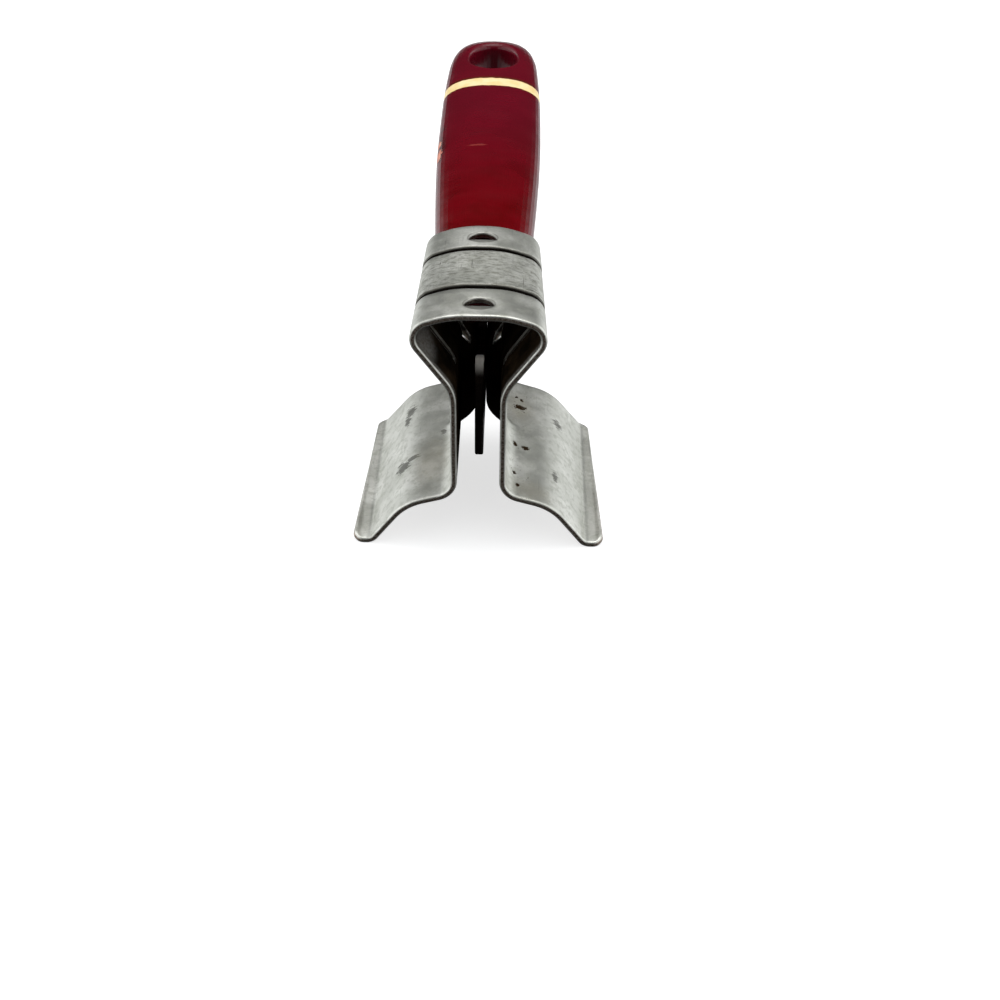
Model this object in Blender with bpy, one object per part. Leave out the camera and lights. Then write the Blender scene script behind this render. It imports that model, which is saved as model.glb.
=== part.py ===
"""Hand tool: a folded sheet-metal guide with two flared wings and a centre blade, on a flat wooden handle.

The handle lies along Y with the working end at -Y, the wings spread along X and their feet stand on z = 0.
Lengths are given in millimetres and converted to metres where the meshes are made.
"""
import math

import bmesh
import bpy
from mathutils import Matrix, Vector

MM = 0.001

# Overall
TOOL_LENGTH = 110.8         # front edge of the guide to the handle's butt
FRONT = -TOOL_LENGTH / 2    # Y of the guide's front edge
TOUCH_GAP = 0.3             # between pieces that bear on one another

# Folded sheet
SHEET = 0.9                 # thickness
HALF_SHEET = SHEET / 2
BODY_HEIGHT = 39.7          # feet to crown
WING_LENGTH = 30.0
LOOP_LENGTH = 25.5          # the loop that holds the handle stops short of the wings' rear edge
LOOP_TAPER = 1.2            # how much narrower each shoulder is at the loop's rear
NECK_HALF = 3.5             # mid-plane of the neck walls, from the centre, front and middle
NECK_TOP = 27.3
PINCH_HALF = 1.175          # the same where the rear walls close on the blade
PINCH_TOP = 22.8
PINCH_START = 17.3          # distances behind the front edge
PINCH_END = 20.3
WING_SPAN_FRONT = 38.0
WING_SPAN_REAR = 35.2
WING_TIP_TRAIL = 0.8        # how much further back the wings reach at their outer edge
WING_SQUARE = 11.0          # half-width up to which the rear edge runs straight across
WING_SLOPE = 0.348          # fall of the wing's upper stretch, per unit of width
WING_ROOT = (6.2, 8.5)      # a point on that stretch

# Slots and half-moon holes in the loop
SLOT_WIDTH = 0.9
SLOT_STARTS = (7.3, 18.1)
SLOT_FLOORS = (27.5, 26.0)  # height where each slot ends in the walls
MOON_RADIUS = 2.05
MOON_FLATS = (2.7, 21.3)    # straight side of each half-moon hole

# Blade
BLADE_THICKNESS = 1.25
BLADE_FRONT = 4.7
BLADE_REAR = 28.0
BLADE_BOTTOM = 13.0
BLADE_NOSE_TOP = 30.9
BLADE_TAIL_TOP = 22.4
BLADE_NOSE_RADIUS = 2.6
BLADE_SLOPE_END = 16.8      # where the top has come down to the tail's height
BLADE_HEEL_TOP = 25.0       # the tail steps up again between the pinched walls
BLADE_HEEL_START = 21.0

# Rivets through the pinched walls and the blade
RIVET_STATIONS = (22.2, 26.0)
RIVET_HEIGHT = 17.4
RIVET_RADIUS = 1.0
RIVET_HEAD_RADIUS = 1.8
RIVET_HEAD_HEIGHT = 0.7
RIVET_CLEARANCE = 0.1

# Handle
HANDLE_HEIGHT = 34.6        # its axis above the feet
TENON_START = 12.0
TENON_HALF_WIDTH = 6.2
TENON_HALF_HEIGHT = 3.7
HANDLE_HALF_WIDTH_NECK = 7.15
HANDLE_HALF_WIDTH = 8.74
HANDLE_SWELL_END = 70.0
HANDLE_BUTT_NARROWING = 0.07
HANDLE_NARROWING_RANGE = (80.0, 105.0)
HANDLE_HALF_HEIGHT_NECK = 4.4
HANDLE_HALF_HEIGHT_BUTT = 3.9
HANDLE_THINNING_RANGE = (35.0, 80.0)
BUTT_START = 94.0           # where the rounded end begins
BUTT_POWER = 2.6
BUTT_SIDE_POWER = 0.6
OVAL_POWER = 2.25

# Oval hang hole
HANG_HOLE_STATION = 97.0
HANG_HOLE_HALF_WIDTH = 4.4
HANG_HOLE_HALF_LENGTH = 6.8
HANG_HOLE_LIP = 1.4         # radius of its rounded rim
LIP_SWEEP = math.radians(80)

ARC_STEPS = 6
RING_POINTS = 40


def smoothstep(low, high, value):
    t = min(max((value - low) / (high - low), 0.0), 1.0)
    return t * t * (3.0 - 2.0 * t)


def filleted_path(corners, steps=ARC_STEPS, closed=False):
    """Points and unit tangents along a polyline of (u, v, fillet radius) corners."""
    count = len(corners)
    places = [Vector((u, v)) for u, v, _ in corners]
    points = []
    tangents = []
    for index, (_, _, radius) in enumerate(corners):
        before = places[(index - 1) % count]
        here = places[index]
        after = places[(index + 1) % count]
        if not closed and index == 0:
            points.append(here)
            tangents.append((after - here).normalized())
            continue
        if not closed and index == count - 1:
            points.append(here)
            tangents.append((here - before).normalized())
            continue
        heading = (here - before).normalized()
        leaving = (after - here).normalized()
        turn = math.atan2(heading.x * leaving.y - heading.y * leaving.x, heading.dot(leaving))
        start = here - heading * radius * math.tan(abs(turn) / 2)
        side = math.copysign(1.0, turn)
        centre = start + Vector((-heading.y, heading.x)) * side * radius
        for step in range(steps + 1):
            rotation = Matrix.Rotation(turn * step / steps, 2)
            points.append(centre + rotation @ (start - centre))
            tangents.append(rotation @ heading)
    return points, tangents


def new_object(name, bm, material):
    bmesh.ops.recalc_face_normals(bm, faces=bm.faces)
    mesh = bpy.data.meshes.new(name)
    bm.to_mesh(mesh)
    bm.free()
    mesh.materials.append(material)
    obj = bpy.data.objects.new(name, mesh)
    bpy.context.scene.collection.objects.link(obj)
    mesh.shade_smooth()
    mesh.set_sharp_from_angle(angle=math.radians(35))
    return obj


def make_material(name, colour, roughness, metallic):
    material = bpy.data.materials.new(name)
    material.use_nodes = True
    shader = material.node_tree.nodes["Principled BSDF"]
    shader.inputs["Base Color"].default_value = (*colour, 1.0)
    shader.inputs["Roughness"].default_value = roughness
    shader.inputs["Metallic"].default_value = metallic
    material.diffuse_color = (*colour, 1.0)
    return material


def loft(rings):
    """A closed solid through rings of equal length."""
    bm = bmesh.new()
    rows = [[bm.verts.new(point * MM) for point in ring] for ring in rings]
    for near, far in zip(rows, rows[1:]):
        for index in range(len(near)):
            following = (index + 1) % len(near)
            bm.faces.new((near[index], near[following], far[following], far[index]))
    bm.faces.new(rows[0])
    bm.faces.new(rows[-1])
    return bm


def prism(outline, low, high, to_space):
    """An outline extruded between two offsets; to_space maps (u, v, offset) to XYZ."""
    rings = [[Vector(to_space(u, v, offset)) for u, v in outline] for offset in (low, high)]
    return loft(rings)


def side_view(y_distance, z, x):
    return (x, FRONT + y_distance, z)


def plan_view(x, y_distance, z):
    return (x, FRONT + y_distance, z)


def turned(profile, centre, axis):
    """A solid of revolution from (distance along axis, radius) pairs; both ends are flat or pointed."""
    along = Vector(axis)
    across = Vector((0.0, 0.0, 1.0)) if abs(along.z) < 0.5 else Vector((1.0, 0.0, 0.0))
    other = along.cross(across)
    rings = []
    for distance, radius in profile:
        ring = []
        for index in range(RING_POINTS):
            angle = 2 * math.pi * index / RING_POINTS
            offset = across * math.cos(angle) + other * math.sin(angle)
            ring.append(Vector(centre) + along * distance + offset * radius)
        rings.append(ring)
    return loft(rings)


def add_boolean(target, cutter, operation="DIFFERENCE"):
    cutter.hide_render = True
    cutter.display_type = "WIRE"
    modifier = target.modifiers.new(cutter.name, "BOOLEAN")
    modifier.object = cutter
    modifier.operation = operation
    modifier.solver = "EXACT"


def sheet_corners(distance):
    """Mid-plane corners of one half of the folded sheet, crown to wing tip, at a distance from the front."""
    pinch = smoothstep(PINCH_START, PINCH_END, distance)
    taper = LOOP_TAPER * distance / LOOP_LENGTH
    neck = NECK_HALF + (PINCH_HALF - NECK_HALF) * pinch
    neck_top = NECK_TOP + (PINCH_TOP - NECK_TOP) * pinch
    crown = BODY_HEIGHT - HALF_SHEET
    root_x, root_z = WING_ROOT
    neck_foot = root_z + (root_x - neck) * WING_SLOPE
    foot = HALF_SHEET
    return [
        (0.0, crown, 0.0),
        (4.0 - taper, crown, 14.0),
        (10.4 - taper, 37.1, 2.6),
        (neck, neck_top, 6.4 - 4.6 * pinch),
        (neck, neck_foot, 3.2),
        (10.8, 7.3, 8.0),
        (15.9, foot, 1.6),
        (17.7, foot, 2.0),
        (20.0, foot + 0.95, 0.0),
    ]


def sheet_section(distance):
    """Outer and inner points across the whole folded sheet, left wing tip to right."""
    points, tangents = filleted_path(sheet_corners(distance))
    right = list(zip(points, tangents))
    left = [(Vector((-p.x, p.y)), Vector((t.x, -t.y))) for p, t in reversed(right[1:])]
    outer = []
    inner = []
    for point, tangent in left + right:
        normal = Vector((-tangent.y, tangent.x)) * HALF_SHEET
        for row, place in ((outer, point + normal), (inner, point - normal)):
            row.append(Vector((place.x, FRONT + distance, place.y)))
    return outer, inner


def sheet_stations():
    blend = [PINCH_START + (PINCH_END - PINCH_START) * step / 5 for step in range(6)]
    return [-1.0, 6.0, 12.0] + blend + [25.0, WING_LENGTH + 2.0]


def build_sheet_mesh():
    bm = bmesh.new()
    rows = []
    for distance in sheet_stations():
        outer, inner = sheet_section(distance)
        rows.append(([bm.verts.new(p * MM) for p in outer], [bm.verts.new(p * MM) for p in inner]))
    last = len(rows[0][0]) - 1
    for (outer, inner), (next_outer, next_inner) in zip(rows, rows[1:]):
        for index in range(last):
            bm.faces.new((outer[index], outer[index + 1], next_outer[index + 1], next_outer[index]))
            bm.faces.new((inner[index], next_inner[index], next_inner[index + 1], inner[index + 1]))
        for index in (0, last):
            bm.faces.new((outer[index], next_outer[index], next_inner[index], inner[index]))
    for outer, inner in (rows[0], rows[-1]):
        for index in range(last):
            bm.faces.new((outer[index], inner[index], inner[index + 1], outer[index + 1]))
    return bm


def wing_outline():
    """Plan outline that trims the wings: tapered, with rounded corners."""
    front = WING_SPAN_FRONT / 2
    rear = WING_SPAN_REAR / 2
    right = [
        (front, 0.0, 1.6),
        (rear, WING_LENGTH + WING_TIP_TRAIL, 1.6),
        (WING_SQUARE, WING_LENGTH, 3.0),
    ]
    left = [(-x, distance, radius) for x, distance, radius in reversed(right)]
    return [tuple(point) for point in filleted_path(right + left, closed=True)[0]]


def loop_relief_outline():
    """Side outline of the metal cut away behind the loop, down to the wings' rear edge."""
    return [
        (LOOP_LENGTH, BODY_HEIGHT + 5.0),
        (LOOP_LENGTH, 31.0),
        (LOOP_LENGTH + 0.8, 27.0),
        (WING_LENGTH - 0.6, 15.0),
        (WING_LENGTH + 3.0, 13.0),
        (WING_LENGTH + 3.0, BODY_HEIGHT + 5.0),
    ]


def moon_outline(flat):
    """Half-moon with its straight side towards the front."""
    steps = 16
    outline = []
    for step in range(steps + 1):
        angle = math.pi * step / steps
        outline.append((MOON_RADIUS * math.cos(angle), flat + 0.95 * MOON_RADIUS * math.sin(angle)))
    return outline


def build_guide(steel):
    guide = new_object("winged_guide", build_sheet_mesh(), steel)
    reach = 30.0
    trim = new_object("cut_wing_trim", prism(wing_outline(), -5.0, 50.0, plan_view), steel)
    add_boolean(guide, trim, "INTERSECT")
    relief = new_object("cut_loop_relief", prism(loop_relief_outline(), -reach, reach, side_view), steel)
    add_boolean(guide, relief)
    for number, (start, floor) in enumerate(zip(SLOT_STARTS, SLOT_FLOORS)):
        end = start + SLOT_WIDTH
        outline = [(start, floor), (end, floor), (end, 50.0), (start, 50.0)]
        slot = new_object(f"cut_slot_{number}", prism(outline, -reach, reach, side_view), steel)
        add_boolean(guide, slot)
    for number, flat in enumerate(MOON_FLATS):
        hole = prism(moon_outline(flat), BODY_HEIGHT - 4.0, BODY_HEIGHT + 4.0, plan_view)
        add_boolean(guide, new_object(f"cut_moon_{number}", hole, steel))
    for number, station in enumerate(RIVET_STATIONS):
        add_boolean(guide, rivet_bore(f"cut_guide_rivet_{number}", station, steel))
    return guide


def rivet_bore(name, station, material):
    radius = RIVET_RADIUS + RIVET_CLEARANCE
    bore = turned([(-6.0, radius), (6.0, radius)], (0.0, FRONT + station, RIVET_HEIGHT), (1.0, 0.0, 0.0))
    return new_object(name, bore, material)


def build_blade(steel):
    corners = [
        (BLADE_FRONT, BLADE_BOTTOM, 0.8),
        (BLADE_REAR, BLADE_BOTTOM, 0.5),
        (BLADE_REAR, BLADE_HEEL_TOP, 0.8),
        (BLADE_HEEL_START, BLADE_HEEL_TOP, 0.8),
        (BLADE_HEEL_START - 1.5, BLADE_TAIL_TOP, 0.8),
        (BLADE_SLOPE_END, BLADE_TAIL_TOP, 1.2),
        (BLADE_FRONT, BLADE_NOSE_TOP, BLADE_NOSE_RADIUS),
    ]
    outline = [tuple(point) for point in filleted_path(corners, closed=True)[0]]
    half = BLADE_THICKNESS / 2
    blade = new_object("centre_blade", prism(outline, -half, half, side_view), steel)
    for number, station in enumerate(RIVET_STATIONS):
        add_boolean(blade, rivet_bore(f"cut_blade_rivet_{number}", station, steel))
    return blade


def build_rivet(name, station, steel):
    """Domed at both ends, across the pinched walls."""
    wall = PINCH_HALF + HALF_SHEET + RIVET_CLEARANCE
    dome = []
    for step in range(5):
        angle = math.pi / 2 * step / 5
        dome.append((wall + RIVET_HEAD_HEIGHT * math.cos(angle), RIVET_HEAD_RADIUS * math.sin(angle)))
    dome[0] = (wall + RIVET_HEAD_HEIGHT, 0.25)
    half = dome + [(wall, RIVET_HEAD_RADIUS), (wall, RIVET_RADIUS)]
    profile = half + [(-distance, radius) for distance, radius in reversed(half)]
    return new_object(name, turned(profile, (0.0, FRONT + station, RIVET_HEIGHT), (1.0, 0.0, 0.0)), steel)


def handle_half_sizes(distance):
    """Half width and half height of the handle's oval at a distance from the front."""
    swell = math.sin(math.pi / 2 * min((distance - LOOP_LENGTH) / (HANDLE_SWELL_END - LOOP_LENGTH), 1.0))
    width = HANDLE_HALF_WIDTH_NECK + (HANDLE_HALF_WIDTH - HANDLE_HALF_WIDTH_NECK) * swell
    width *= 1.0 - HANDLE_BUTT_NARROWING * smoothstep(*HANDLE_NARROWING_RANGE, distance)
    thinning = smoothstep(*HANDLE_THINNING_RANGE, distance)
    height = HANDLE_HALF_HEIGHT_NECK + (HANDLE_HALF_HEIGHT_BUTT - HANDLE_HALF_HEIGHT_NECK) * thinning
    into_butt = max(0.0, (distance - BUTT_START) / (TOOL_LENGTH - BUTT_START))
    width *= (1.0 - into_butt ** BUTT_POWER) ** (1 / BUTT_POWER)
    height *= (1.0 - into_butt ** 2) ** BUTT_SIDE_POWER
    return width, height


def oval_ring(distance, half_width, half_height):
    ring = []
    for index in range(RING_POINTS):
        angle = 2 * math.pi * index / RING_POINTS
        cosine = math.cos(angle)
        sine = math.sin(angle)
        x = half_width * math.copysign(abs(cosine) ** (2 / OVAL_POWER), cosine)
        z = half_height * math.copysign(abs(sine) ** (2 / OVAL_POWER), sine)
        ring.append(Vector((x, FRONT + distance, HANDLE_HEIGHT + z)))
    return ring


def handle_rings():
    shoulder = LOOP_LENGTH + TOUCH_GAP
    rings = []
    rings.append(oval_ring(TENON_START, TENON_HALF_WIDTH - 0.8, TENON_HALF_HEIGHT - 0.8))
    rings.append(oval_ring(TENON_START + 0.8, TENON_HALF_WIDTH, TENON_HALF_HEIGHT))
    rings.append(oval_ring(shoulder, TENON_HALF_WIDTH, TENON_HALF_HEIGHT))
    neck_width, neck_height = handle_half_sizes(shoulder)
    rings.append(oval_ring(shoulder, neck_width - 0.25, neck_height - 0.25))
    body_start = shoulder + 0.4
    body_steps = 14
    for step in range(body_steps):
        distance = body_start + (BUTT_START - body_start) * step / body_steps
        rings.append(oval_ring(distance, *handle_half_sizes(distance)))
    round_steps = 12
    for step in range(round_steps + 1):
        angle = math.radians(88) * step / round_steps
        distance = BUTT_START + (TOOL_LENGTH - BUTT_START) * math.sin(angle)
        rings.append(oval_ring(distance, *handle_half_sizes(distance)))
    return rings


def surface_height(x, distance):
    """Height of the handle's upper surface above its axis."""
    width, height = handle_half_sizes(distance)
    return height * (1.0 - min(abs(x) / width, 1.0) ** OVAL_POWER) ** (1 / OVAL_POWER)


def hang_hole_ring(side, grow, below_surface):
    """One ring of the hole's cutter, which follows the handle's upper (side 1) or lower (side -1) surface."""
    ring = []
    for index in range(RING_POINTS):
        angle = 2 * math.pi * index / RING_POINTS
        x = (HANG_HOLE_HALF_WIDTH + grow) * math.cos(angle)
        distance = HANG_HOLE_STATION + (HANG_HOLE_HALF_LENGTH + grow) * math.sin(angle)
        height = surface_height(x, distance) - below_surface
        ring.append(Vector((x, FRONT + distance, HANDLE_HEIGHT + side * height)))
    return ring


def hang_hole_rings(side):
    """From the straight bore outwards over the rounded rim and clear of the handle."""
    steps = 6
    rings = []
    for step in range(steps + 1):
        angle = LIP_SWEEP * step / steps
        grow = HANG_HOLE_LIP * (1 - math.cos(angle))
        rings.append(hang_hole_ring(side, grow, HANG_HOLE_LIP * (1 - math.sin(angle))))
    flare = 0.8
    rings.append(hang_hole_ring(side, grow + flare * math.sin(angle), -flare * math.cos(angle)))
    rings.append(hang_hole_ring(side, grow + flare * math.sin(angle), -4.0))
    return rings


def build_handle(paint):
    handle = new_object("handle", loft(handle_rings()), paint)
    hole_rings = list(reversed(hang_hole_rings(-1))) + hang_hole_rings(1)
    hole = new_object("cut_hang_hole", loft(hole_rings), paint)
    add_boolean(handle, hole)
    return handle


def main():
    for obj in list(bpy.data.objects):
        bpy.data.objects.remove(obj, do_unlink=True)
    red_paint = make_material("red_paint", (0.16, 0.004, 0.016), 0.25, 0.0)
    sheet_steel = make_material("sheet_steel", (0.56, 0.56, 0.53), 0.35, 1.0)
    blade_steel = make_material("blade_steel", (0.30, 0.28, 0.26), 0.4, 1.0)
    rivet_steel = make_material("rivet_steel", (0.5, 0.5, 0.48), 0.35, 1.0)
    build_handle(red_paint)
    build_guide(sheet_steel)
    build_blade(blade_steel)
    for name, station in zip(("rivet_front", "rivet_rear"), RIVET_STATIONS):
        build_rivet(name, station, rivet_steel)


main()
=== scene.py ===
import math

import bpy
import numpy as np
from mathutils import Matrix, Vector
from mathutils.geometry import delaunay_2d_cdt


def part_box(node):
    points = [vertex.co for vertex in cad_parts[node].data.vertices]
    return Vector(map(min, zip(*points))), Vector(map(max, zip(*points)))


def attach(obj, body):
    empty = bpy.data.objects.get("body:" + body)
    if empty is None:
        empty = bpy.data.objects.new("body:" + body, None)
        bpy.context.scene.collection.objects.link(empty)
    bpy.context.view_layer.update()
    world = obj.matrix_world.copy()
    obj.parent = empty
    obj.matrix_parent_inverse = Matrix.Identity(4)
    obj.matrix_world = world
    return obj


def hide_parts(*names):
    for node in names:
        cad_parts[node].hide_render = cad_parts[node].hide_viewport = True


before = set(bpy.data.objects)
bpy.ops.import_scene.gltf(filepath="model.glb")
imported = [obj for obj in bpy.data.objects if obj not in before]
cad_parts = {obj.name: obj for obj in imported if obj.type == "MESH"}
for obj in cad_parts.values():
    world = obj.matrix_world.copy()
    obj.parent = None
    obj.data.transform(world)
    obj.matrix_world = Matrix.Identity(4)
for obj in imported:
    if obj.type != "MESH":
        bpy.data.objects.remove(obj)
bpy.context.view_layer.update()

MM = 0.001
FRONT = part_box("winged_guide")[0].y / MM          # front edge of the guide, in mm

# Distances below are in mm: x across, s behind the guide's front edge, z above the wings' feet.


# ---------------------------------------------------------------- node helpers

class Graph:
    """Short names for the nodes of one material."""

    def __init__(self, name):
        self.material = bpy.data.materials.new(name)
        self.material.use_nodes = True
        self.tree = self.material.node_tree
        self.shader = self.tree.nodes["Principled BSDF"]
        coordinates = self.tree.nodes.new("ShaderNodeTexCoord").outputs["Object"]
        shift = self.vector("SUBTRACT", coordinates, (0.0, FRONT * MM, 0.0))
        self.place = self.vector("SCALE", shift, scale=1000.0)
        split = self.tree.nodes.new("ShaderNodeSeparateXYZ")
        self.wire(self.place, split.inputs[0])
        self.x, self.s, self.z = split.outputs

    def wire(self, source, socket):
        if isinstance(source, (int, float)):
            socket.default_value = source
        elif isinstance(source, (tuple, list)):
            size = len(socket.default_value)
            socket.default_value = (*source, 1.0)[:size]
        else:
            self.tree.links.new(source, socket)

    def math(self, operation, a, b=0.0, clamp=False):
        node = self.tree.nodes.new("ShaderNodeMath")
        node.operation = operation
        node.use_clamp = clamp
        for socket, value in zip(node.inputs, (a, b)):
            self.wire(value, socket)
        return node.outputs[0]

    def vector(self, operation, a, b=None, scale=None):
        node = self.tree.nodes.new("ShaderNodeVectorMath")
        node.operation = operation
        self.wire(a, node.inputs[0])
        if b is not None:
            self.wire(b, node.inputs[1])
        if scale is not None:
            self.wire(scale, node.inputs["Scale"])
        return node.outputs["Value" if operation == "LENGTH" else "Vector"]

    def ramp(self, value, low, high, to_low=0.0, to_high=1.0):
        """Smooth step from to_low at low to to_high at high."""
        node = self.tree.nodes.new("ShaderNodeMapRange")
        node.interpolation_type = "SMOOTHSTEP"
        for socket, item in zip(node.inputs, (value, low, high, to_low, to_high)):
            self.wire(item, socket)
        return node.outputs[0]

    def noise(self, scale, detail=4.0, roughness=0.55, stretch=None, offset=None):
        """Noise per mm: scale is cycles per mm, stretch divides the frequency along each axis."""
        place = self.place
        if offset is not None:
            place = self.vector("ADD", place, offset)
        if stretch is not None:
            place = self.vector("DIVIDE", place, stretch)
        node = self.tree.nodes.new("ShaderNodeTexNoise")
        self.wire(place, node.inputs["Vector"])
        self.wire(scale, node.inputs["Scale"])
        self.wire(detail, node.inputs["Detail"])
        self.wire(roughness, node.inputs["Roughness"])
        return node.outputs[0]

    def mix(self, factor, a, b):
        node = self.tree.nodes.new("ShaderNodeMix")
        node.data_type = "RGBA"
        self.wire(factor, node.inputs[0])
        self.wire(a, node.inputs[6])
        self.wire(b, node.inputs[7])
        return node.outputs[2]

    def band(self, value, low, high, soft):
        """1 between low and high, 0 outside."""
        rise = self.ramp(value, low - soft, low + soft)
        fall = self.ramp(value, high - soft, high + soft, 1.0, 0.0)
        return self.math("MULTIPLY", rise, fall)

    def spot(self, centre, radii, wobble=None, soft=0.35):
        """1 inside an ellipsoid about centre, 0 outside, its edge roughened by wobble."""
        offset = self.vector("SUBTRACT", self.place, centre)
        reach = self.vector("LENGTH", self.vector("DIVIDE", offset, radii))
        if wobble is not None:
            reach = self.math("ADD", reach, wobble)
        return self.ramp(reach, 1.0 - soft, 1.0 + soft, 1.0, 0.0)

    def most(self, masks):
        result = masks[0]
        for mask in masks[1:]:
            result = self.math("MAXIMUM", result, mask)
        return result

    def bump(self, height, strength, distance, below=None):
        node = self.tree.nodes.new("ShaderNodeBump")
        self.wire(height, node.inputs["Height"])
        node.inputs["Strength"].default_value = strength
        node.inputs["Distance"].default_value = distance * MM
        if below is not None:
            self.wire(below, node.inputs["Normal"])
        return node.outputs["Normal"]

    def normal(self):
        """Components of the true surface normal."""
        split = self.tree.nodes.new("ShaderNodeSeparateXYZ")
        self.wire(self.tree.nodes.new("ShaderNodeNewGeometry").outputs["True Normal"], split.inputs[0])
        return split.outputs

    def finish(self, **sockets):
        for name, value in sockets.items():
            self.wire(value, self.shader.inputs[name.replace("_", " ")])
        return self.material


# ---------------------------------------------------------------- materials

def paint_material():
    """Deep red gloss enamel on wood, with a cream ring, fine turning marks, a chip and small scratches."""
    g = Graph("red_enamel")
    cloud = g.noise(0.12, 3.0)
    streak = g.noise(1.1, 5.0, 0.6, stretch=(9.0, 1.0, 9.0))
    fine = g.noise(4.0, 3.0, 0.6, stretch=(14.0, 1.0, 14.0))
    red = g.mix(g.ramp(cloud, 0.35, 0.65), (0.090, 0.0004, 0.0012), (0.120, 0.0006, 0.0030))
    red = g.mix(g.ramp(streak, 0.42, 0.75, 0.0, 0.16), red, (0.068, 0.0004, 0.002))
    # Painted sheen: the red shifts violet toward the butt, standing in for the stronger reflection there.
    butt_painted_sheen = g.ramp(g.s, 30.0, 78.0)
    red = g.mix(g.math("MULTIPLY", butt_painted_sheen, 0.55), red, (0.105, 0.004, 0.015))
    ring_edge = g.math("MULTIPLY", g.math("SUBTRACT", g.noise(0.9, 2.0), 0.5), 0.5)
    ring_s = g.math("ADD", g.s, ring_edge)
    ring = g.band(ring_s, 81.2, 84.5, 0.09)
    halo = g.math("SUBTRACT", g.band(ring_s, 80.9, 85.3, 0.25), ring, clamp=True)
    cream = g.mix(g.ramp(g.noise(0.5, 3.0), 0.3, 0.7), (0.80, 0.60, 0.27), (0.88, 0.72, 0.42))
    colour = g.mix(g.math("MULTIPLY", halo, 0.6), red, (0.09, 0.018, 0.002))
    colour = g.mix(ring, colour, cream)
    ragged = g.math("MULTIPLY", g.math("SUBTRACT", g.noise(1.6, 4.0, 0.7), 0.5), 2.6)
    chips = g.most([
        g.spot((-8.25, 56.8, 35.9), (0.75, 1.9, 1.2), ragged, 0.12),
        g.spot((-8.25, 61.0, 35.8), (0.6, 1.1, 0.9), ragged, 0.12),
    ])
    chip_rim = g.most([
        g.spot((-8.1, 58.6, 36.1), (1.1, 4.4, 1.6), ragged, 0.25),
        g.spot((-7.7, 66.3, 36.3), (0.8, 0.9, 0.8), ragged, 0.25),
    ])
    nick = g.spot((-1.8, 55.5, 38.5), (1.5, 0.28, 1.0), g.math("MULTIPLY", ragged, 0.4), 0.3)
    colour = g.mix(g.math("MULTIPLY", chip_rim, 0.75), colour, (0.045, 0.002, 0.004))
    fibre = g.noise(1.4, 3.0, 0.6, stretch=(1.0, 6.0, 1.0))
    wood = g.mix(g.ramp(fibre, 0.3, 0.7), (0.42, 0.11, 0.07), (0.60, 0.27, 0.19))
    colour = g.mix(chips, colour, wood)
    colour = g.mix(g.math("MULTIPLY", nick, 0.5), colour, (0.30, 0.05, 0.035))
    smear = g.noise(0.35, 4.0, 0.6, stretch=(2.0, 1.0, 2.0), offset=(31.0, 7.0, 3.0))
    rough = g.ramp(smear, 0.3, 0.75, 0.16, 0.26)
    rough = g.math("ADD", rough, g.math("MULTIPLY", chips, 0.4))
    normal = g.bump(streak, 0.05, 0.04)
    normal = g.bump(fine, 0.02, 0.02, normal)
    normal = g.bump(g.noise(0.22, 2.0), 0.35, 0.20, normal)
    paint_left = g.math("SUBTRACT", 1.0, g.most([chips, g.math("MULTIPLY", nick, 0.3)]))
    normal = g.bump(paint_left, 0.8, 0.15, normal)
    return g.finish(Base_Color=colour, Roughness=rough, Normal=normal, Specular_IOR_Level=0.25)


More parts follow.
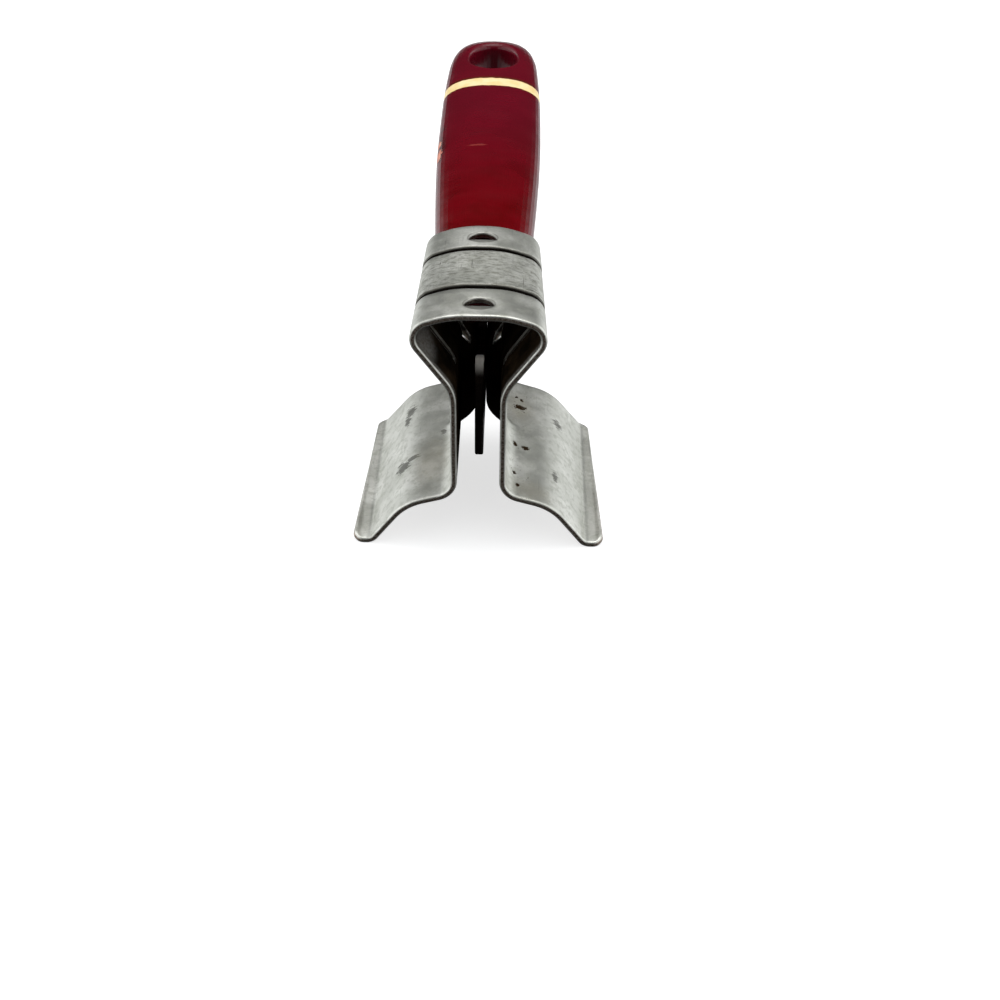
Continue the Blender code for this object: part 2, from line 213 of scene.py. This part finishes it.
def steel_material():
    """Worn satin sheet steel: mottled patina, scratches, dark scuffs and rust specks."""
    g = Graph("worn_sheet_steel")
    patch = g.noise(0.16, 5.0, 0.6)
    mottle = g.noise(0.9, 6.0, 0.65)
    grain = g.noise(5.0, 4.0, 0.6)
    base = g.mix(g.ramp(patch, 0.35, 0.68), (0.48, 0.485, 0.44), (0.63, 0.63, 0.59))
    base = g.mix(g.ramp(mottle, 0.44, 0.66, 0.0, 0.6), base, (0.34, 0.345, 0.30))
    middle = g.math("MULTIPLY", g.band(g.s, 8.0, 18.0, 0.3), g.ramp(g.z, 27.0, 29.0))
    scuffed = g.noise(2.2, 6.0, 0.75, stretch=(2.5, 1.0, 2.5), offset=(3.0, 9.0, 1.0))
    base = g.mix(g.math("MULTIPLY", middle, g.ramp(scuffed, 0.44, 0.62, 0.1, 0.75)), base, (0.19, 0.19, 0.16))
    # long hair scratches in two directions
    hair_a = g.noise(3.0, 2.0, 0.5, stretch=(16.0, 0.55, 16.0), offset=(5.0, 1.0, 8.0))
    hair_b = g.noise(3.0, 2.0, 0.5, stretch=(0.55, 16.0, 0.9), offset=(1.0, 4.0, 2.0))
    hair = g.most([g.ramp(hair_a, 0.66, 0.72), g.ramp(hair_b, 0.67, 0.73)])
    hair_depth = g.math("ADD", 0.28, g.math("MULTIPLY", middle, 0.6))
    base = g.mix(g.math("MULTIPLY", hair, hair_depth), base, (0.13, 0.125, 0.11))
    ragged = g.math("MULTIPLY", g.math("SUBTRACT", g.noise(3.2, 5.0, 0.75), 0.5), 3.4)
    drawn = g.math("MULTIPLY", g.math("SUBTRACT", g.noise(3.4, 4.0, 0.7, stretch=(4.5, 1.0, 4.5)), 0.5), 4.2)
    scuffs = g.most([
        g.spot((-11.4, 24.6, 6.8), (0.75, 1.5, 1.5), drawn, 0.2),
        g.spot((-11.8, 22.4, 6.4), (0.45, 1.2, 1.2), drawn, 0.2),
        g.spot((-11.6, 10.2, 6.7), (1.1, 1.3, 1.6), drawn, 0.2),
        g.spot((-10.4, 11.2, 7.6), (1.2, 0.5, 1.2), drawn, 0.2),
        g.spot((-5.8, 16.0, 9.2), (0.45, 0.7, 1.0), drawn, 0.2),
        g.spot((11.4, 8.3, 6.9), (0.40, 1.1, 1.2), drawn, 0.2),
        g.spot((12.1, 22.6, 6.2), (0.9, 1.0, 1.0), drawn, 0.3),
    ])
    base = g.mix(g.math("MULTIPLY", scuffs, 0.85), base, (0.10, 0.10, 0.09))
    speckle = g.noise(1.9, 3.0, 0.6, offset=(11.0, 3.0, 4.0))
    speck_zone = g.math("MULTIPLY", g.band(g.x, 4.2, 7.6, 0.6), g.ramp(g.z, 10.6, 9.6))
    specks = g.math("MULTIPLY", g.ramp(speckle, 0.665, 0.69), speck_zone)
    rust = g.most([
        g.spot((6.0, 23.0, 9.3), (1.0, 0.62, 1.0), ragged, 0.15),
        g.spot((6.2, 25.0, 9.2), (0.30, 0.42, 0.9), ragged, 0.15),
        g.spot((5.4, 25.6, 9.4), (0.25, 0.30, 0.9), ragged, 0.15),
        g.spot((6.9, 12.6, 8.9), (0.62, 0.45, 0.9), ragged, 0.15),
        g.spot((5.3, 12.9, 9.4), (0.32, 0.55, 0.9), ragged, 0.15),
        g.spot((5.2, 5.6, 9.4), (0.25, 0.35, 0.9), ragged, 0.15),
        g.spot((5.7, 2.9, 9.2), (0.32, 0.35, 0.9), ragged, 0.15),
        specks,
    ])
    stain = g.most([
        g.spot((6.0, 22.8, 9.3), (1.9, 3.2, 1.8), ragged, 0.5),
        g.spot((-7.0, 9.0, 8.6), (2.6, 5.0, 1.8), ragged, 0.6),
        g.spot((7.6, 2.4, 8.6), (3.0, 2.0, 1.8), ragged, 0.6),
    ])
    base = g.mix(g.math("MULTIPLY", stain, 0.22), base, (0.36, 0.30, 0.19))
    base = g.mix(rust, base, (0.020, 0.011, 0.005))
    # Painted shade: the steel is darkened in and beside the slots and half-moon holes.
    slot_shade = slot_painted_shade(g)
    base = g.mix(g.math("MULTIPLY", slot_shade, 0.85), base, (0.07, 0.065, 0.055))
    rough = g.ramp(patch, 0.3, 0.7, 0.40, 0.50)
    rough = g.math("ADD", rough, g.math("MULTIPLY", g.ramp(mottle, 0.4, 0.7), 0.08))
    rough = g.math("ADD", rough, g.math("MULTIPLY", middle, 0.05))
    rough = g.math("ADD", rough, g.math("MULTIPLY", g.most([rust, scuffs]), 0.22))
    dull = g.most([rust, g.math("MULTIPLY", scuffs, 0.6)])
    metal = g.math("SUBTRACT", 1.0, dull)
    normal = g.bump(g.noise(0.10, 2.0), 0.5, 0.35)
    normal = g.bump(mottle, 0.25, 0.05, normal)
    normal = g.bump(grain, 0.25, 0.015, normal)
    normal = g.bump(g.math("SUBTRACT", 1.0, hair), 0.3, 0.02, normal)
    normal = g.bump(rust, 0.5, 0.05, normal)
    return g.finish(Base_Color=base, Roughness=rough, Metallic=metal, Normal=normal, Specular_IOR_Level=0.0)


def slot_painted_shade(g):
    """1 in and beside the two slots and the half-moon holes: painted shade that darkens their rims and sides.
    """
    front = g.math("MULTIPLY", g.band(g.s, 7.08, 8.42, 0.07), g.ramp(g.z, 27.0, 27.5))
    rear = g.math("MULTIPLY", g.band(g.s, 17.88, 19.22, 0.07), g.ramp(g.z, 25.4, 25.9))
    holes = g.most([
        g.spot((0.0, 3.2, 39.0), (2.4, 1.75, 2.0), None, 0.04),
        g.spot((0.0, 21.9, 39.0), (2.4, 1.75, 2.0), None, 0.04),
    ])
    return g.most([front, rear, g.math("MULTIPLY", holes, 0.7)])


def edge_material():
    """Sheared edges of the sheet: torn, tinted brown as a painted reflection of dark brownish surroundings,
    and rubbed bright in places.
    """
    g = Graph("sheared_edge_steel")
    torn = g.noise(2.6, 5.0, 0.7)
    # Painted reflection: the brown metal tint stands in for the dark brownish surroundings the edges reflect.
    base = g.mix(g.ramp(torn, 0.40, 0.62), (0.15, 0.115, 0.09), (0.42, 0.36, 0.31))
    # Painted shade: the sheared edges inside the slots and half-moon holes are darkened.
    base = g.mix(g.math("MULTIPLY", slot_painted_shade(g), 0.9), base, (0.02, 0.015, 0.012))
    normal = g.bump(torn, 0.6, 0.06)
    rough = g.ramp(torn, 0.35, 0.65, 0.55, 0.38)
    return g.finish(Base_Color=base, Roughness=rough, Metallic=1.0, Normal=normal)


def inside_material():
    """The sheet inside the fold and under the wings: painted dark brown shade, with painted light patches at
    the mouth's upper inner corners and just inside its front edge, and wear low down.
    """
    g = Graph("inside_sheet_steel")
    patch = g.noise(0.25, 5.0, 0.6)
    grain = g.noise(2.4, 5.0, 0.65)
    # Painted shade: the inside of the fold and the underside are near-black brown.
    dark = g.mix(g.ramp(patch, 0.35, 0.7), (0.004, 0.003, 0.002), (0.022, 0.014, 0.008))
    # Colour of the painted light patches and of the wear low on the underside.
    lit_and_worn_steel = g.mix(g.ramp(grain, 0.4, 0.7), (0.50, 0.49, 0.46), (0.26, 0.22, 0.17))
    ragged = g.math("MULTIPLY", g.math("SUBTRACT", patch, 0.5), 0.9)
    # Painted light: bright patches at the mouth's upper inner corners and a lift just inside the front edge;
    # the last entry is real wear below 9.6 mm.
    mouth_light_and_foot_wear = g.most([
        g.spot((-5.6, 5.0, 37.4), (1.9, 4.5, 2.2), ragged, 0.3),
        g.spot((5.4, 5.0, 37.6), (1.9, 4.0, 1.6), ragged, 0.3),
        g.math("MULTIPLY", g.spot((-8.0, 2.5, 33.2), (2.0, 3.5, 2.2), ragged, 0.6), 0.35),
        g.math("MULTIPLY", g.ramp(g.s, 1.4, 0.2), 0.35),
        g.ramp(g.z, 9.6, 7.5, 0.0, 0.7),
    ])
    base = g.mix(mouth_light_and_foot_wear, dark, lit_and_worn_steel)
    normal = g.bump(grain, 0.3, 0.04)
    rough = g.math("SUBTRACT", 0.75, g.math("MULTIPLY", mouth_light_and_foot_wear, 0.35))
    metal = g.math("MULTIPLY", mouth_light_and_foot_wear, 0.9)
    return g.finish(Base_Color=base, Roughness=rough, Metallic=metal, Normal=normal, Specular_IOR_Level=0.0)


def blade_material():
    """Blade steel painted near-black for the shade it sits in, with a painted highlight on its rounded front
    top and a painted lit strip low on its right side.
    """
    g = Graph("dark_blade_steel")
    patch = g.noise(0.3, 5.0, 0.6)
    drawn = g.noise(1.6, 4.0, 0.6, stretch=(1.0, 1.0, 7.0))
    # Painted shade: the blade is near-black for the shade inside the fold.
    base = g.mix(g.ramp(patch, 0.35, 0.7), (0.005, 0.003, 0.002), (0.018, 0.012, 0.009))
    across = g.normal()[0]
    # Painted light: a lit strip on the blade's right side below about 20 mm, under the arch's shadow edge.
    right_side_painted_light = g.math("MULTIPLY", g.ramp(across, 0.2, 0.6), g.ramp(g.z, 20.5, 19.0))
    base = g.mix(g.math("MULTIPLY", g.ramp(drawn, 0.35, 0.6, 0.5, 1.0), right_side_painted_light), base, (0.42, 0.41, 0.37))
    # Painted highlight: the rounded front top of the blade is near-white.
    tip_painted_highlight = g.math("MULTIPLY", g.ramp(g.z, 26.8, 29.4), g.ramp(g.s, 12.0, 6.0))
    base = g.mix(tip_painted_highlight, base, (0.90, 0.86, 0.78))
    rough = g.ramp(patch, 0.3, 0.7, 0.30, 0.48)
    normal = g.bump(drawn, 0.35, 0.03)
    normal = g.bump(g.noise(3.0, 4.0), 0.3, 0.02, normal)
    metal = g.most([g.math("MULTIPLY", tip_painted_highlight, 0.3), g.math("MULTIPLY", right_side_painted_light, 0.8)])
    return g.finish(Base_Color=base, Roughness=rough, Metallic=metal, Normal=normal, Specular_IOR_Level=0.05)


def rivet_material():
    """Soft steel rivets with hammered, slightly darkened heads."""
    g = Graph("rivet_steel_worn")
    patch = g.noise(0.8, 5.0, 0.6)
    base = g.mix(g.ramp(patch, 0.35, 0.65), (0.26, 0.25, 0.22), (0.50, 0.49, 0.45))
    normal = g.bump(g.noise(1.4, 3.0), 0.6, 0.08)
    rough = g.ramp(patch, 0.3, 0.7, 0.32, 0.5)
    return g.finish(Base_Color=base, Roughness=rough, Metallic=1.0, Normal=normal)


def floor_material(name, glow):
    material = bpy.data.materials.new(name)
    material.use_nodes = True
    shader = material.node_tree.nodes["Principled BSDF"]
    shader.inputs["Base Color"].default_value = (0.45, 0.45, 0.45, 1.0)
    shader.inputs["Roughness"].default_value = 0.9
    shader.inputs["Specular IOR Level"].default_value = 0.1
    shader.inputs["Emission Color"].default_value = (1.0, 1.0, 1.0, 1.0)
    shader.inputs["Emission Strength"].default_value = glow
    return material


# ---------------------------------------------------------------- folded sheet

SHEET = 0.9
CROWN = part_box("winged_guide")[1].z / MM - SHEET / 2   # of the mid-plane
LOOP_LENGTH = 25.5
LOOP_TAPER = 1.2
WING_LENGTH = 30.0
WING_TIP_TRAIL = 0.8
WING_HALF_SPANS = (18.72, 17.36)        # mid-plane, at the front and at the rear corner
WING_CORNER = 1.6                       # corner radius in plan
PINCH = (17.3, 20.3)
NECK_HALF = (3.5, 1.11)                 # open, and pinched on the blade
NECK_TOP = (27.3, 22.8)
SLOTS = ((7.3, 27.5), (18.1, 26.0))     # start, and height where the slot ends
SLOT_WIDTH = 0.9
MOON_FLATS = (2.7, 21.3)
MOON_RADII = (2.05, 1.95)               # across, and along the tool
RIVET_STATIONS = (22.2, 26.0)
RIVET_HEIGHT = 17.4
RIVET_BORE = 1.1
EDGE_POINT_GAP = 0.35
EDGE_CLEARANCE = 0.45                   # no inner point lies closer to an edge point than this
EASE_WIDTH = 0.24


def smooth(low, high, value):
    t = min(max((value - low) / (high - low), 0.0), 1.0)
    return t * t * (3.0 - 2.0 * t)


def half_corners(s):
    """Corners (x, z, fillet radius) of one half of the sheet's mid-plane, crown to wing tip."""
    pinch = smooth(*PINCH, s)
    taper = LOOP_TAPER * s / LOOP_LENGTH
    neck = NECK_HALF[0] + (NECK_HALF[1] - NECK_HALF[0]) * pinch
    neck_top = NECK_TOP[0] + (NECK_TOP[1] - NECK_TOP[0]) * pinch
    neck_foot = 8.5 + (6.2 - neck) * 0.348
    foot = SHEET / 2
    return [
        (0.0, CROWN, 0.0),
        (4.0 - taper, CROWN, 14.0),
        (10.4 - taper, 37.1, 2.6),
        (neck, neck_top, 6.4 - 4.6 * pinch),
        (neck, neck_foot, 3.2),
        (10.8, 7.3, 8.0),
        (15.9, foot, 1.6),
        (17.7, foot, 2.0),
        (20.0, foot + 0.95, 0.0),
    ]


def half_profile(s, arc_steps=10, line_steps=6):
    """Points of that half, the same number at every s."""
    corners = half_corners(s)
    places = [np.array(c[:2]) for c in corners]
    points = [places[0]]
    for index in range(1, len(corners)):
        here = places[index]
        heading = (here - places[index - 1]) / np.linalg.norm(here - places[index - 1])
        if index == len(corners) - 1:
            start = here
        else:
            leaving = (places[index + 1] - here) / np.linalg.norm(places[index + 1] - here)
            turn = math.atan2(heading[0] * leaving[1] - heading[1] * leaving[0], float(heading @ leaving))
            radius = corners[index][2]
            start = here - heading * radius * math.tan(abs(turn) / 2)
        last = points[-1]
        points += [last + (start - last) * step / line_steps for step in range(1, line_steps + 1)]
        if index < len(corners) - 1:
            side = math.copysign(1.0, turn)
            centre = start + np.array((-heading[1], heading[0])) * side * radius
            for step in range(1, arc_steps + 1):
                angle = turn * step / arc_steps
                cosine, sine = math.cos(angle), math.sin(angle)
                x, z = start - centre
                points.append(centre + np.array((cosine * x - sine * z, sine * x + cosine * z)))
    return np.array(points)


REFERENCE = half_profile(0.0)
ARC = np.concatenate(([0.0], np.cumsum(np.linalg.norm(np.diff(REFERENCE, axis=0), axis=1))))


def on_sheet(t, s):
    """(x, z) of the mid-plane at distance s, where t is the arc length from the crown at the front edge."""
    profile = half_profile(s)
    index = np.interp(abs(t), ARC, np.arange(len(ARC)))
    x = float(np.interp(index, np.arange(len(ARC)), profile[:, 0]))
    z = float(np.interp(index, np.arange(len(ARC)), profile[:, 1]))
    return math.copysign(x, t), z


def arc_at_height(height, s=0.0):
    """Arc length where the neck of the profile at s passes a height."""
    profile = half_profile(s)
    rows = [i for i in range(len(profile)) if 11.5 < profile[i, 1] < 36.0]
    rows.reverse()
    return float(np.interp(height, profile[rows, 1], ARC[rows]))


def arc_at_offset(x, s):
    """Arc length where the crown of the profile at s reaches a distance from the middle plane."""
    profile = half_profile(s)
    return math.copysign(float(np.interp(abs(x), profile[:24, 0], ARC[:24])), x)


def arc_at_span(span):
    """Arc length where the wing of the front profile reaches a half-width."""
    rows = [i for i in range(len(REFERENCE)) if ARC[i] > arc_at_height(12.5)]
    return float(np.interp(span, REFERENCE[rows, 0], ARC[rows]))


def rear_limit(t):
    """Distance of the sheet's rear edge at arc length t."""
    x, z = on_sheet(t, LOOP_LENGTH)
    loop = np.interp(z, (13.0, 15.0, 27.0, 31.0), (WING_LENGTH, 29.4, 26.3, LOOP_LENGTH))
    trail = WING_TIP_TRAIL * smooth(11.0, 17.5, abs(x)) if z < 9.0 else 0.0
    return float(loop) + trail


def round_corner(corner, before, after, radius, steps=8):
    """Points of a fillet at a corner of a plan outline."""
    corner, before, after = (np.array(p, float) for p in (corner, before, after))
    a = (before - corner) / np.linalg.norm(before - corner)
    b = (after - corner) / np.linalg.norm(after - corner)
    half = math.acos(float(np.clip(a @ b, -1, 1))) / 2
    centre = corner + (a + b) / np.linalg.norm(a + b) * radius / math.sin(half)
    start = corner + a * radius / math.tan(half) - centre
    end = corner + b * radius / math.tan(half) - centre
    sweep = math.atan2(start[0] * end[1] - start[1] * end[0], float(start @ end))
    points = []
    for step in range(steps + 1):
        angle = sweep * step / steps
        cosine, sine = math.cos(angle), math.sin(angle)
        x, y = start
        points.append(tuple(centre + (cosine * x - sine * y, sine * x + cosine * y)))
    return points


def spread(a, b, gap):
    """Points from a to b, both left out, about gap apart."""
    a, b = np.array(a, float), np.array(b, float)
    count = max(1, int(round(np.linalg.norm(b - a) / gap)))
    return [tuple(a + (b - a) * step / count) for step in range(1, count)]


def sheet_outline():
    """The whole outline in (arc length, distance), one closed loop."""
    front = (arc_at_span(WING_HALF_SPANS[0]), 0.0)
    rear = (arc_at_span(WING_HALF_SPANS[1]), WING_LENGTH + WING_TIP_TRAIL)
    inboard = (rear[0] - 4.0, 30.65)
    front_corner = round_corner(front, (0.0, 0.0), rear, WING_CORNER)
    rear_corner = round_corner(rear, front, inboard, WING_CORNER)
    right = spread((0.0, 0.0), front_corner[0], EDGE_POINT_GAP) + front_corner
    right += spread(front_corner[-1], rear_corner[0], 0.5) + rear_corner
    stations = np.arange(rear_corner[-1][0] - 0.3, 0.0, -EDGE_POINT_GAP)
    right += [(float(t), rear_limit(float(t))) for t in stations]
    left = [(-t, s) for t, s in reversed(right)]
    return [(0.0, 0.0)] + right + [(0.0, LOOP_LENGTH)] + left


def loop_of_rectangle(half_span, low, high):
    corners = [(-half_span, low), (half_span, low), (half_span, high), (-half_span, high)]
    points = []
    for a, b in zip(corners, corners[1:] + corners[:1]):
        points += [a] + spread(a, b, EDGE_POINT_GAP)
    return points


def sheet_openings():
    """Closed loops of the slots, half-moon holes and rivet holes, in (arc length, distance)."""
    loops = [loop_of_rectangle(arc_at_height(floor), start, start + SLOT_WIDTH) for start, floor in SLOTS]
    steps = 12
    for flat in MOON_FLATS:
        arc = []
        for step in range(steps + 1):
            angle = math.pi * step / steps
            s = flat + MOON_RADII[1] * math.sin(angle)
            arc.append((arc_at_offset(MOON_RADII[0] * math.cos(angle), s), s))
        loops.append(arc + spread(arc[-1], arc[0], 0.3))
    for side in (-1, 1):
        for station in RIVET_STATIONS:
            ring = []
            for step in range(24):
                angle = math.tau * step / 24
                height = RIVET_HEIGHT + RIVET_BORE * math.cos(angle)
                s = station + RIVET_BORE * math.sin(angle)
                ring.append((side * arc_at_height(height, s), s))
            loops.append(ring)
    return loops


def inside_loop(points, loop):
    """Which of the points lie inside a closed loop."""
    loop = np.array(loop)
    x, y = points[:, 0][:, None], points[:, 1][:, None]
    x0, y0 = loop[:, 0][None], loop[:, 1][None]
    x1, y1 = np.roll(loop[:, 0], -1)[None], np.roll(loop[:, 1], -1)[None]
    spans = (y0 > y) != (y1 > y)
    rise = np.where(y1 == y0, 1e-12, y1 - y0)
    crosses = spans & (x < (x1 - x0) * (y - y0) / rise + x0)
    return crosses.sum(1) % 2 == 1


def build_sheet():
    """The guide as one smooth folded sheet with its slots and holes, thickened and with eased edges."""
    loops = [sheet_outline()] + sheet_openings()
    edge_points = np.array([p for loop in loops for p in loop])
    open_stations, pinch_stations = np.arange(0.6, 17.0, 0.9), np.arange(17.0, 20.8, 0.3)
    stations = np.concatenate((open_stations, pinch_stations, np.arange(21.3, 31.0, 0.8)))
    arcs = np.unique(np.round(np.concatenate((-ARC, ARC)), 6))
    grid = np.array([(t, s) for t in arcs for s in stations])
    keep = inside_loop(grid, loops[0])
    for loop in loops[1:]:
        keep &= ~inside_loop(grid, loop)
    grid = grid[keep]
    nearest = np.array([np.min((edge_points[:, 0] - t) ** 2 + (edge_points[:, 1] - s) ** 2) for t, s in grid])
    grid = grid[nearest > EDGE_CLEARANCE ** 2]
    edges = []
    start = 0
    for loop in loops:
        count = len(loop)
        edges += [(start + k, start + (k + 1) % count) for k in range(count)]
        start += count
    flat = [Vector(p) for p in edge_points] + [Vector(p) for p in grid]
    flat, _, faces, _, _, _ = delaunay_2d_cdt(flat, edges, [], 0, 1e-5)
    flat = np.array([tuple(p) for p in flat])
    faces = np.array([tuple(f) for f in faces])
    centres = flat[faces].mean(1)
    keep = inside_loop(centres, loops[0])
    for loop in loops[1:]:
        keep &= ~inside_loop(centres, loop)
    places = []
    for t, s in flat:
        x, z = on_sheet(t, s)
        places.append((x * MM, (FRONT + s) * MM, z * MM))
    mesh = bpy.data.meshes.new("guide_sheet")
    mesh.from_pydata(places, [], [tuple(int(i) for i in f) for f in faces[keep]])
    mesh.validate()
    mesh.shade_smooth()
    sheet = bpy.data.objects.new("guide_sheet", mesh)
    bpy.context.scene.collection.objects.link(sheet)
    thick = sheet.modifiers.new("thickness", "SOLIDIFY")
    thick.thickness = (SHEET - 0.004) * MM
    thick.offset = 0.0
    thick.material_offset = 2
    thick.material_offset_rim = 1
    ease = sheet.modifiers.new("eased_edges", "BEVEL")
    ease.width = EASE_WIDTH * MM
    ease.segments = 3
    ease.limit_method = "ANGLE"
    ease.angle_limit = math.radians(50)
    ease.use_clamp_overlap = False
    ease.material = 0
    sheet.modifiers.new("even_shading", "WEIGHTED_NORMAL").keep_sharp = True
    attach(sheet, "root")
    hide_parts("winged_guide")
    return sheet


# ---------------------------------------------------------------- stage

# each: from, to, strength at from, strength at to
WORLD = {
    "overhead": (0.52, 0.92, 0.02, 0.95),
    "aside": (0.42, 0.75, 0.0, 1.75),
    "aside_height": (-0.75, -0.10, 0.0, 1.0),
    "ground": (-0.55, 0.60, 0.10, 0.75),
    "straight_down": (-0.45, -0.80, 1.0, 0.12),
}


def set_material(name, material):
    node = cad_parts[name]
    for slot in node.material_slots:
        slot.material = material


def soften_edges(name, width):
    """Join the points split at sharp edges, then round those edges."""
    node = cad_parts[name]
    node.modifiers.new("join", "WELD").merge_threshold = 0.002 * MM
    bevel = node.modifiers.new("edge", "BEVEL")
    bevel.width = width * MM
    bevel.segments = 3
    bevel.limit_method = "ANGLE"
    bevel.angle_limit = math.radians(38)
    bevel.use_clamp_overlap = False


def add_floor():
    size = 3.0
    mesh = bpy.data.meshes.new("floor")
    corners = [(-size, -size, 0), (size, -size, 0), (size, size, 0), (-size, size, 0)]
    mesh.from_pydata(corners, [], [(0, 1, 2, 3)])
    floor = bpy.data.objects.new("floor", mesh)
    bpy.context.scene.collection.objects.link(floor)
    floor.location.z = -0.02 * MM
    mesh.materials.append(floor_material("pale_floor", 0.70))
    floor.visible_glossy = False
    floor.visible_diffuse = False


def add_backdrop():
    """A plain white wall far around the floor, only there to be seen."""
    radius, height, steps = 2.8, 3.0, 48
    angles = [math.tau * k / steps for k in range(steps)]
    places = [(radius * math.cos(a), radius * math.sin(a), z) for z in (-0.01, height) for a in angles]
    faces = [(k, (k + 1) % steps, steps + (k + 1) % steps, steps + k) for k in range(steps)]
    mesh = bpy.data.meshes.new("backdrop")
    mesh.from_pydata(places, [], faces)
    wall = bpy.data.objects.new("backdrop", mesh)
    bpy.context.scene.collection.objects.link(wall)
    mesh.materials.append(floor_material("pale_wall", 1.0))
    wall.visible_glossy = False
    wall.visible_diffuse = False
    wall.visible_shadow = False


def add_area_light(name, place, target, size, power):
    data = bpy.data.lights.new(name, "AREA")
    data.shape = "RECTANGLE"
    data.size, data.size_y = size
    data.energy = power
    lamp = bpy.data.objects.new(name, data)
    bpy.context.scene.collection.objects.link(lamp)
    lamp.location = place
    lamp.rotation_euler = (Vector(target) - Vector(place)).to_track_quat("-Z", "Y").to_euler()


def set_world():
    """A plain room: bright overhead and to both sides, dim straight behind the tool and low in front."""
    world = bpy.data.worlds.new("room")
    bpy.context.scene.world = world
    world.use_nodes = True
    tree = world.node_tree
    background = tree.nodes["Background"]
    split = tree.nodes.new("ShaderNodeSeparateXYZ")
    tree.links.new(tree.nodes.new("ShaderNodeTexCoord").outputs["Generated"], split.inputs[0])
    x, y, z = split.outputs

    def combine(operation, a, b=None):
        node = tree.nodes.new("ShaderNodeMath")
        node.operation = operation
        tree.links.new(a, node.inputs[0])
        if b is not None:
            tree.links.new(b, node.inputs[1])
        return node.outputs[0]

    def remap(value, low, high, to_low, to_high):
        node = tree.nodes.new("ShaderNodeMapRange")
        node.interpolation_type = "SMOOTHSTEP"
        tree.links.new(value, node.inputs[0])
        for socket, item in zip(list(node.inputs)[1:5], (low, high, to_low, to_high)):
            socket.default_value = item
        return node.outputs[0]

    overhead = remap(z, *WORLD["overhead"])
    aside = remap(combine("ABSOLUTE", x), *WORLD["aside"])
    aside = combine("MULTIPLY", aside, remap(z, *WORLD["aside_height"]))
    ground = combine("MULTIPLY", remap(z, -0.02, -0.20, 0.0, 1.0), remap(y, *WORLD["ground"]))
    ground = combine("MULTIPLY", ground, remap(z, *WORLD["straight_down"]))
    total = combine("MAXIMUM", combine("MAXIMUM", overhead, aside), ground)
    tree.links.new(total, background.inputs["Strength"])
    background.inputs["Color"].default_value = (0.965, 0.985, 1.0, 1.0)


def add_camera():
    """The photograph's viewing angle: in front of the working end and above it."""
    data = bpy.data.cameras.new("camera")
    data.lens = 50.4
    data.sensor_width = 36.0
    data.clip_start = 0.01
    camera = bpy.data.objects.new("camera", data)
    bpy.context.scene.collection.objects.link(camera)
    forward = Vector((-0.00631965, 0.78306209, -0.62191143)).normalized()
    right = Vector((0.99978687, 0.01717133, 0.0114613)).normalized()
    up = right.cross(forward)
    place = Vector((4.505, FRONT - 159.865, 135.670)) * MM
    camera.matrix_world = Matrix.Translation(place) @ Matrix((right, up, -forward)).transposed().to_4x4()
    bpy.context.scene.camera = camera


def main():
    set_material("handle", paint_material())
    sheet = build_sheet()
    for material in (steel_material(), edge_material(), inside_material()):
        sheet.data.materials.append(material)
    set_material("centre_blade", blade_material())
    rivets = rivet_material()
    set_material("rivet_front", rivets)
    set_material("rivet_rear", rivets)
    soften_edges("centre_blade", 0.25)
    add_floor()
    add_backdrop()
    add_area_light("top_softbox", (0.03, 0.10, 0.60), (0.0, 0.0, 0.02), (0.5, 0.4), 2.3)
    set_world()
    add_camera()
    bpy.context.scene.view_settings.view_transform = "Standard"


main()
